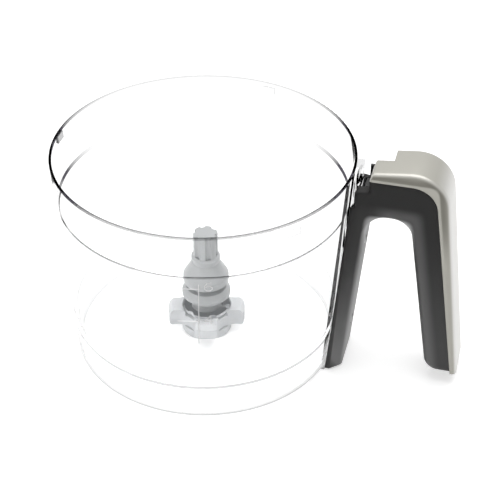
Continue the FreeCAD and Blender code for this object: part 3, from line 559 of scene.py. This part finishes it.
@dataclass(frozen=True)
class CoverFinish(Moulded):
    """The satin cover, with a painted dark reflection on its side and painted highlights on its
    rounding and its outer face.
    """

    # Painted dark reflection on the side, above the lip.
    painted_reflection_colour: Colour = (0.085, 0.08, 0.06, 1.0)
    painted_reflection_share: float = 0.7
    band_facing: Step = (0.6, 0.97)
    band_start: Step = (0.9, 2.2)
    band_end: Step = (3.0, 7.0, 1.0, 0.3)
    band_height: Step = (80.0, 120.0, 0.12, 1.0)
    # Painted highlights on the rounding and on the outer face.
    painted_rounding_highlight: float = 0.12
    rounding_start: Step = (0.2, 0.5)
    rounding_end: Step = (0.9, 0.6)
    painted_outer_highlight: float = 0.45
    outer_facing: Step = (0.5, 1.0)

    def paint_light_and_shade(self, graph: Graph, effects: EffectLibrary,
              colour: bpy.types.NodeSocket) -> bpy.types.NodeSocket:
        """Paints a dark reflection on the side above the lip, and highlights on the rounding and
        the outer face.

        Args:
            graph: The material's graph.
            effects: The shared shader groups.
            colour: The colour so far.

        Returns:
            The colour for the surface.
        """
        lines = effects.place(graph, Effect.HANDLE).outputs
        dark = graph.product(
            graph.ramp(lines["Side"], *self.band_facing),
            graph.ramp(lines["Seam"], *self.band_start),
            graph.ramp(lines["Seam"], *self.band_end),
            graph.ramp(lines["Height"], *self.band_height), self.painted_reflection_share)
        pale = graph.product(
            graph.ramp(lines["Side"], *self.rounding_start),
            graph.ramp(lines["Side"], *self.rounding_end), self.painted_rounding_highlight)
        outer = graph.product(graph.ramp(lines["Out"], *self.outer_facing), self.painted_outer_highlight)
        share = graph.math("ADD", pale, outer, clamp=True)
        return graph.mix(dark, graph.mix(share, colour, WHITE), self.painted_reflection_colour)


@dataclass(frozen=True)
class CreasedFinish(Moulded):
    """A moulding with painted shade, darker in its grooves; the glow on its finishes, painted
    light, stands in for slight translucency.
    """

    # Painted shade in the grooves.
    crease_shade_colour: Colour = (0.17, 0.175, 0.18, 1.0)
    crease_depth: float = 3.0 * MM
    crease_step: Step = (0.15, 0.85)

    def paint_light_and_shade(self, graph: Graph, effects: EffectLibrary,
              colour: bpy.types.NodeSocket) -> bpy.types.NodeSocket:
        """Paints shade: mixes in the dark colour where a place is closed in.

        Args:
            graph: The material's graph.
            effects: The shared shader groups.
            colour: The colour so far.

        Returns:
            The colour for the surface.
        """
        # Painted shade where the surface is closed in.
        crease = effects.place(graph, Effect.CREASE, Distance=self.crease_depth)
        share = graph.ramp(crease.outputs["Open"], *self.crease_step)
        return graph.mix(share, self.crease_shade_colour, colour)


class Skin(Enum):
    """Where a band lies, as millimetres beyond the wall's outer face."""

    WHOLE = (-3.6, 60.0)
    INNER = (-3.6, -0.8)
    OUTER = (-0.6, 0.2)
    BEYOND = (0.3, 60.0)


@dataclass(frozen=True)
class Band:
    """A height range of the clear wall with a painted dark line, darker by how the wall is seen
    there.

    The two side shares hold where the wall is seen along its skin, the other two where it is
    seen flat on. The near ones are for the front of the bowl, the far ones for its back.
    """

    low: float
    high: float
    blend: float
    near_side: float
    far_side: float
    near: float
    far: float
    skin: Skin


@dataclass(frozen=True)
class ClearPlastic:
    """The bowl's clear plastic, with painted dark lines: its tint darkens in height bands, by how
    the wall is seen there.
    """

    name: str = "clear_plastic"
    colour: Colour = (0.996, 0.997, 0.998, 1.0)
    painted_line_colour: Colour = (0.006, 0.0055, 0.008, 1.0)
    roughness: float = 0.012
    ior: float = 1.03
    haze_scale: float = 25.0
    side_step: Step = (0.2, 0.75)
    skin_blend: float = 0.2 * MM
    # Painted dark lines: the rim, the inner ledge, the floor ring, the foot, the whole wall
    # faintly, and the pieces beyond the wall.
    bands: tuple[Band, ...] = (
        Band(130.8 * MM, 140.0 * MM, 0.4 * MM, 1.0, 1.0, 0.66, 0.38, Skin.WHOLE),
        Band(102.8 * MM, 105.0 * MM, 0.3 * MM, 0.6, 0.99, 0.55, 0.04, Skin.INNER),
        Band(21.7 * MM, 24.0 * MM, 0.4 * MM, 0.6, 0.2, 0.76, 0.2, Skin.OUTER),
        Band(-1.0 * MM, 1.2 * MM, 0.4 * MM, 0.3, 0.15, 0.34, 0.1, Skin.WHOLE),
        Band(-1.0 * MM, 140.0 * MM, 0.4 * MM, 0.08, 0.08, 0.0, 0.0, Skin.WHOLE),
        Band(122.0 * MM, 129.0 * MM, 0.2 * MM, 0.3, 0.85, 0.25, 0.4, Skin.BEYOND),
        Band(-1.0 * MM, 122.0 * MM, 0.2 * MM, 0.25, 0.25, 0.25, 0.25, Skin.BEYOND),
    )

    def material(self, effects: EffectLibrary) -> bpy.types.Material:
        """Builds the material.

        Args:
            effects: The shared shader groups.

        Returns:
            A new material.
        """
        material = bpy.data.materials.new(self.name)
        material.use_nodes = True
        graph = Graph(material.node_tree)
        output = graph.add("ShaderNodeOutputMaterial")
        surface = graph.add(
            "ShaderNodeBsdfPrincipled", IOR=self.ior, Transmission_Weight=1.0, Metallic=0.0)
        wall = effects.place(graph, Effect.WALL)
        facing = graph.add("ShaderNodeLayerWeight", Blend=0.5)
        graph.join(wall.outputs["Normal"], facing.inputs["Normal"])
        side = graph.ramp(facing.outputs["Facing"], *self.side_step)
        shade: Any = 0.0
        for band in self.bands:
            added = self.band_shade(graph, band, wall, side)
            shade = graph.math("ADD", shade, added, clamp=True)
        # Painted dark lines: the bands mix the tint toward the dark line colour.
        painted_line_tint = graph.mix(shade, self.colour, self.painted_line_colour)
        graph.join(painted_line_tint, surface.inputs["Base Color"])
        grain = effects.place(graph, Effect.GRAIN, Patch_Scale=self.haze_scale)
        haze = graph.math("MULTIPLY", grain.outputs["Patch"], self.roughness)
        graph.join(graph.math("ADD", haze, self.roughness / 2), surface.inputs["Roughness"])
        graph.join(surface.outputs["BSDF"], output.inputs["Surface"])
        return material

    def band_shade(self, graph: Graph, band: Band, wall: bpy.types.Node,
                   side: bpy.types.NodeSocket) -> bpy.types.NodeSocket:
        """How dark a band's painted line is at a place.

        Args:
            graph: The material's graph.
            band: The band.
            wall: The wall group's node.
            side: How much the wall is seen along its skin.

        Returns:
            A value from 0 to 1.
        """
        height, beyond = wall.outputs["Height"], wall.outputs["Beyond"]
        first, last = (limit * MM for limit in band.skin.value)
        inside = graph.product(
            graph.ramp(height, band.low - band.blend, band.low + band.blend),
            graph.ramp(height, band.high + band.blend, band.high - band.blend),
            graph.ramp(beyond, first - self.skin_blend, first + self.skin_blend),
            graph.ramp(beyond, last + self.skin_blend, last - self.skin_blend))
        flat, along = (graph.add("ShaderNodeMapRange", To_Min=far, To_Max=near)
                       for far, near in ((band.far, band.near), (band.far_side, band.near_side)))
        for node in (flat, along):
            graph.join(wall.outputs["Near"], node.inputs["Value"])
        across = graph.math("SUBTRACT", 1.0, side)
        seen_along = graph.product(side, along.outputs["Result"])
        seen_flat = graph.product(across, flat.outputs["Result"])
        return graph.product(inside, graph.math("ADD", seen_along, seen_flat))


class Finishes:
    """Every material of the object, by the record's slot."""

    OPAQUE = {
        "soft_grip": GripFinish(
            "soft_grip", (0.008, 0.0077, 0.0077, 1.0), (0.011, 0.0105, 0.0103, 1.0), 0.55,
            specular=0.28, grain_scale=3500.0, grain_depth=0.12, edge_lift=0.0,
            edge_radius=3.0 * MM),
        "satin_cover": CoverFinish(
            "satin_cover", (0.44, 0.43, 0.385, 1.0), (0.41, 0.40, 0.36, 1.0), 0.36,
            metallic=0.45, coat=0.05, grain_scale=6000.0, grain_depth=0.03, edge_lift=0.05,
            edge_radius=1.0 * MM),
        # The spindle and the coupling glow with painted light, so they stay bright beneath the
        # clear floor.
        "spindle_plastic": CreasedFinish(
            "spindle_plastic", (0.36, 0.37, 0.375, 1.0), (0.41, 0.42, 0.425, 1.0), 0.34,
            grain_depth=0.06, glow=0.15),
        "coupling_plastic": CreasedFinish(
            "coupling_plastic", (0.53, 0.54, 0.55, 1.0), (0.58, 0.59, 0.60, 1.0), 0.45,
            grain_depth=0.06, glow=0.15),
        "black_plastic": Moulded(
            "black_plastic", (0.010, 0.010, 0.010, 1.0), (0.014, 0.014, 0.014, 1.0), 0.4,
            grain_depth=0.08),
        "steel": Moulded(
            "steel", (0.55, 0.55, 0.55, 1.0), (0.48, 0.48, 0.49, 1.0), 0.28, metallic=1.0,
            grain_scale=4000.0, grain_depth=0.08),
        "bronze": Moulded(
            "bronze", (0.48, 0.33, 0.17, 1.0), (0.42, 0.28, 0.14, 1.0), 0.45, metallic=1.0,
            grain_scale=5000.0, grain_depth=0.2),
        # The seal glows with painted light.
        "seal_rubber": Moulded(
            "seal_rubber", (0.34, 0.35, 0.36, 1.0), (0.38, 0.39, 0.40, 1.0), 0.7,
            grain_depth=0.2, glow=0.4),
    }

    PRINT = Moulded(
        "white_print", (0.9, 0.9, 0.9, 1.0), (0.85, 0.85, 0.85, 1.0), 0.6, edge_lift=0.0)

    def __init__(self, effects: EffectLibrary) -> None:
        """Builds all materials.

        Args:
            effects: The shared shader groups.
        """
        self.by_slot = {slot: finish.material(effects) for slot, finish in self.OPAQUE.items()}
        self.by_slot["clear_plastic"] = ClearPlastic().material(effects)
        self.white_print = self.PRINT.material(effects)


class RoundedShading:
    """A geometry-node group that welds a mesh and smooths it up to an angle."""

    def __init__(self, angle: float = math.radians(32), merge: float = 1e-6) -> None:
        """Builds the group.

        Args:
            angle: The largest angle between faces that still shades smooth.
            merge: Points closer than this become one.
        """
        tree = bpy.data.node_groups.new("rounded_shading", "GeometryNodeTree")
        tree.interface.new_socket("Geometry", in_out="INPUT", socket_type="NodeSocketGeometry")
        tree.interface.new_socket("Geometry", in_out="OUTPUT", socket_type="NodeSocketGeometry")
        graph = Graph(tree)
        source = graph.add("NodeGroupInput")
        result = graph.add("NodeGroupOutput")
        weld = graph.add("GeometryNodeMergeByDistance", Distance=merge)
        smooth = graph.add("GeometryNodeSetShadeSmooth", {"domain": "FACE"}, Shade_Smooth=True)
        sharp = graph.add("GeometryNodeSetShadeSmooth", {"domain": "EDGE"}, Shade_Smooth=False)
        bend = graph.add("GeometryNodeInputMeshEdgeAngle")
        limit = graph.add("FunctionNodeCompare", {"operation": "GREATER_THAN"})
        limit.inputs[1].default_value = angle
        graph.join(bend.outputs["Unsigned Angle"], limit.inputs[0])
        graph.join(limit.outputs["Result"], sharp.inputs["Selection"])
        for before, after in ((source, weld), (weld, smooth), (smooth, sharp), (sharp, result)):
            graph.join(before.outputs["Geometry"], after.inputs["Geometry"])
        self.tree = tree

    def put_on(self, piece: bpy.types.Object) -> None:
        """Adds the group to a piece as a modifier."""
        modifier = piece.modifiers.new("rounded_shading", "NODES")
        modifier.node_group = self.tree


@dataclass
class Dresser:
    """Gives the CAD nodes their shading and their finishes."""

    finishes: Finishes
    shading: RoundedShading

    def dress_all(self) -> None:
        """Dresses every CAD node with the finish of its slot."""
        for row in frame["record"]["subparts"]:
            piece = frame["nodes"][row["node"]]
            finish = self.finishes.by_slot[row["material_slot"]]
            for holder in piece.material_slots:
                holder.material = finish
            self.shading.put_on(piece)
            LOG.info("dressed %s in %s", row["node"], finish.name)


@dataclass
class ReturnSpring:
    """The rod's return spring, a wire coil built at one length, though the real one shortens as the
    lid pushes the button down.
    """

    finish: bpy.types.Material
    axis_start: float = 86.5 * MM
    axis_lean: float = 0.0738
    aside: float = 8.0 * MM
    radius: float = 2.3 * MM
    wire: float = 0.3 * MM
    turns: int = 5
    travel: float = 4.0 * MM
    steps: int = 28
    sides: int = 12

    def build(self) -> None:
        """Builds the coil in place of the CAD solid, riding on the bowl."""
        low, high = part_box("return_spring")
        up = Vector((self.axis_lean, 0.0, 1.0)).normalized()
        out = Vector((1.0, 0.0, -self.axis_lean)).normalized()
        tilt = (self.radius + self.wire) * up.x
        foot = self.on_axis(low.z + tilt)
        length = (self.on_axis(high.z - tilt) - foot).length
        mesh = bpy.data.meshes.new("spring_coil")
        mesh.from_pydata(*self.tube(foot, up, out, length))
        mesh.polygons.foreach_set("use_smooth", [True] * len(mesh.polygons))
        mesh.materials.append(self.finish)
        piece = bpy.data.objects.new("spring_coil", mesh)
        bpy.context.scene.collection.objects.link(piece)
        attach(piece, "bowl")
        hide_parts("return_spring")
        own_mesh(piece)
        LOG.info("built spring_coil, %.1f mm long", length / MM)

    def on_axis(self, height: float) -> Vector:
        """The point of the rod's axis at a height."""
        return Vector((self.axis_start + self.axis_lean * height, self.aside, height))

    def tube(self, foot: Vector, up: Vector, out: Vector,
             length: float) -> tuple[list, list, list]:
        """The wire's points and faces.

        Args:
            foot: The coil's lowest point on the rod's axis.
            up: The axis.
            out: A direction across the axis.
            length: The coil's length.

        Returns:
            Points, an empty list of edges, and faces.
        """
        side = up.cross(out)
        rise = length - 2 * self.wire
        count = self.turns * self.steps
        points: list[tuple[float, ...]] = []
        for step in range(count + 1):
            angle = 2 * math.pi * step / self.steps
            radial = out * math.cos(angle) + side * math.sin(angle)
            centre = foot + up * (self.wire + rise * step / count) + radial * self.radius
            for corner in range(self.sides):
                turn = 2 * math.pi * corner / self.sides
                outward = radial * math.cos(turn) + up * math.sin(turn)
                points.append(tuple(centre + outward * self.wire))
        faces: list[tuple[int, ...]] = []
        for step in range(count):
            base = step * self.sides
            for corner in range(self.sides):
                following = (corner + 1) % self.sides
                faces.append((base + corner, base + following,
                              base + self.sides + following, base + self.sides + corner))
        faces.append(tuple(range(self.sides))[::-1])
        faces.append(tuple(range(count * self.sides, (count + 1) * self.sides)))
        return points, [], faces


@dataclass
class WallMarks:
    """White capacity marks printed on the wall: ticks with plain numbers, and a line."""

    finish: bpy.types.Material
    lift: float = 0.06 * MM
    stroke: float = 0.55 * MM

    # Each stroke's turns: degrees about the bowl's axis and millimetres above the foot.
    STROKES = {
        "tick_upper": [(-82.3, 97.4), (-75.9, 97.6)],
        "tick_lower": [(-84.0, 74.0), (-75.9, 74.4)],
        "mark_line": [(-76.0, 100.6), (-76.4, 58.0)],
        "number_upper": [
            (-71.6, 102.0), (-73.0, 101.6), (-73.9, 99.6), (-73.9, 97.6), (-73.0, 96.4),
            (-71.9, 96.4), (-71.2, 97.4), (-71.2, 98.6), (-71.9, 99.5), (-73.0, 99.5),
            (-73.7, 98.6)],
        "number_lower": [(-71.8, 72.6), (-71.8, 78.4), (-74.2, 74.4), (-71.0, 74.4)],
    }

    def build(self) -> None:
        """Builds the ticks, the numbers and the line, which ride on the bowl."""
        for name, path in self.STROKES.items():
            self.stroke_piece(name, path)

    def point(self, angle: float, height: float) -> Vector:
        """A point just outside the wall.

        Args:
            angle: Degrees about the bowl's axis from the handle.
            height: Millimetres above the foot.

        Returns:
            The point in metres.
        """
        radius = WALL_FOOT_RADIUS + WALL_LEAN * height * MM + self.lift
        turn = math.radians(angle)
        return Vector((radius * math.cos(turn), radius * math.sin(turn), height * MM))

    def stroke_piece(self, name: str, path: Sequence[tuple[float, float]]) -> None:
        """Prints one stroke on the wall.

        Args:
            name: The piece's name.
            path: Angles and heights along the stroke.
        """
        points: list[Vector] = []
        faces: list[tuple[int, int, int, int]] = []
        for start, end in zip(path, path[1:]):
            first, last = self.point(*start), self.point(*end)
            outward = Vector((first.x, first.y, 0.0)).normalized()
            along = (last - first).normalized()
            side = along.cross(outward) * (self.stroke / 2)
            along *= self.stroke / 2
            base = len(points)
            points += [first - along - side, last + along - side,
                       last + along + side, first - along + side]
            faces.append((base, base + 1, base + 2, base + 3))
        mesh = bpy.data.meshes.new(name)
        mesh.from_pydata([tuple(point) for point in points], [], faces)
        mesh.materials.append(self.finish)
        piece = bpy.data.objects.new(name, mesh)
        bpy.context.scene.collection.objects.link(piece)
        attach(piece, "bowl")


@dataclass(frozen=True)
class SquareLamp:
    """A square soft lamp: its place and target in metres, its size and its power in watts."""

    name: str
    place: tuple[float, float, float]
    target: tuple[float, float, float]
    size: float
    power: float


@dataclass
class Studio:
    """The pale floor, the soft lamps, the world and the camera."""

    camera_place: tuple[float, float, float] = (0.1769, -0.5786, 0.5061)
    camera_forward: tuple[float, float, float] = (-0.2008, 0.7793, -0.5936)
    camera_up: tuple[float, float, float] = (-0.1543, 0.5733, 0.8047)
    camera_turn: float = math.radians(-0.26)
    lens: float = 89.25
    sensor: float = 36.0
    clip_start: float = 10.0 * MM
    floor_half: float = 6.0
    floor_drop: float = 0.2 * MM
    floor_colour: Colour = (0.82, 0.82, 0.82, 1.0)
    floor_glow: float = 0.5
    fill: float = 0.35
    lamps: tuple[SquareLamp, ...] = (
        SquareLamp("top_lamp", (0.15, 0.25, 1.4), (0.05, 0.0, 0.05), 1.3, 15.0),
        SquareLamp("left_lamp", (-1.1, -0.7, 0.9), (0.05, 0.0, 0.05), 0.9, 5.0),
    )

    def build(self) -> None:
        """Builds everything round the object."""
        self.build_floor()
        self.build_world()
        self.build_lamps()
        self.build_camera()
        bpy.context.scene.view_settings.view_transform = "Standard"

    @staticmethod
    def seen_white(graph: Graph) -> bpy.types.NodeSocket:
        """1 where the camera, the clear plastic or a reflection looks, and 0 for plain light.

        Args:
            graph: The graph of the floor's material or of the world.

        Returns:
            The value's output.
        """
        path = graph.add("ShaderNodeLightPath")
        seen = graph.math("ADD", path.outputs["Is Camera Ray"], path.outputs["Is Transmission Ray"])
        return graph.math("ADD", seen, path.outputs["Is Glossy Ray"], clamp=True)

    def build_floor(self) -> None:
        """A white floor that the camera and the clear plastic see as white."""
        half = self.floor_half
        mesh = bpy.data.meshes.new("floor")
        mesh.from_pydata(
            [(-half, -half, 0), (half, -half, 0), (half, half, 0), (-half, half, 0)],
            [], [(0, 1, 2, 3)])
        floor = bpy.data.objects.new("floor", mesh)
        bpy.context.scene.collection.objects.link(floor)
        floor.location.z = -self.floor_drop
        material = bpy.data.materials.new("floor_white")
        material.use_nodes = True
        graph = Graph(material.node_tree)
        output = graph.add("ShaderNodeOutputMaterial")
        surface = graph.add(
            "ShaderNodeBsdfPrincipled", Base_Color=self.floor_colour, Roughness=0.9,
            Specular_IOR_Level=0.0, Emission_Color=WHITE)
        glow = graph.math("MULTIPLY", self.seen_white(graph), self.floor_glow)
        graph.join(glow, surface.inputs["Emission Strength"])
        graph.join(surface.outputs["BSDF"], output.inputs["Surface"])
        mesh.materials.append(material)

    def build_world(self) -> None:
        """A white background that gives the object an even, lower fill light."""
        world = bpy.data.worlds.new("studio_world")
        world.use_nodes = True
        graph = Graph(world.node_tree)
        output = graph.add("ShaderNodeOutputWorld")
        back = graph.add("ShaderNodeBackground", Color=WHITE)
        share = graph.math("MULTIPLY", self.seen_white(graph), 1.0 - self.fill)
        graph.join(graph.math("ADD", share, self.fill), back.inputs["Strength"])
        graph.join(back.outputs["Background"], output.inputs["Surface"])
        bpy.context.scene.world = world

    def build_lamps(self) -> None:
        """A wide lamp overhead and a weaker one from the left."""
        for lamp in self.lamps:
            data = bpy.data.lights.new(lamp.name, "AREA")
            data.shape = "SQUARE"
            data.size = lamp.size
            data.energy = lamp.power
            holder = bpy.data.objects.new(lamp.name, data)
            bpy.context.scene.collection.objects.link(holder)
            holder.location = lamp.place
            aim = Vector(lamp.target) - Vector(lamp.place)
            holder.rotation_euler = aim.to_track_quat("-Z", "Y").to_euler()

    def build_camera(self) -> None:
        """The camera where the photograph was taken from."""
        data = bpy.data.cameras.new("camera")
        data.lens = self.lens
        data.sensor_width = self.sensor
        data.clip_start = self.clip_start
        camera = bpy.data.objects.new("camera", data)
        bpy.context.scene.collection.objects.link(camera)
        forward = Vector(self.camera_forward).normalized()
        right = forward.cross(Vector(self.camera_up)).normalized()
        up = right.cross(forward)
        turn = Matrix((right, up, -forward)).transposed().to_4x4()
        swing = Matrix.Rotation(self.camera_turn, 4, "Z")
        camera.matrix_world = swing @ Matrix.Translation(Vector(self.camera_place)) @ turn
        bpy.context.scene.camera = camera


def main() -> None:
    """Builds the dressed part and its studio."""
    logging.basicConfig(level=logging.INFO, format="%(name)s: %(message)s")
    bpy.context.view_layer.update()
    finishes = Finishes(EffectLibrary())
    Dresser(finishes, RoundedShading()).dress_all()
    ReturnSpring(finishes.by_slot["steel"]).build()
    WallMarks(finishes.white_print).build()
    Studio().build()


if __name__ == "__main__":
    main()
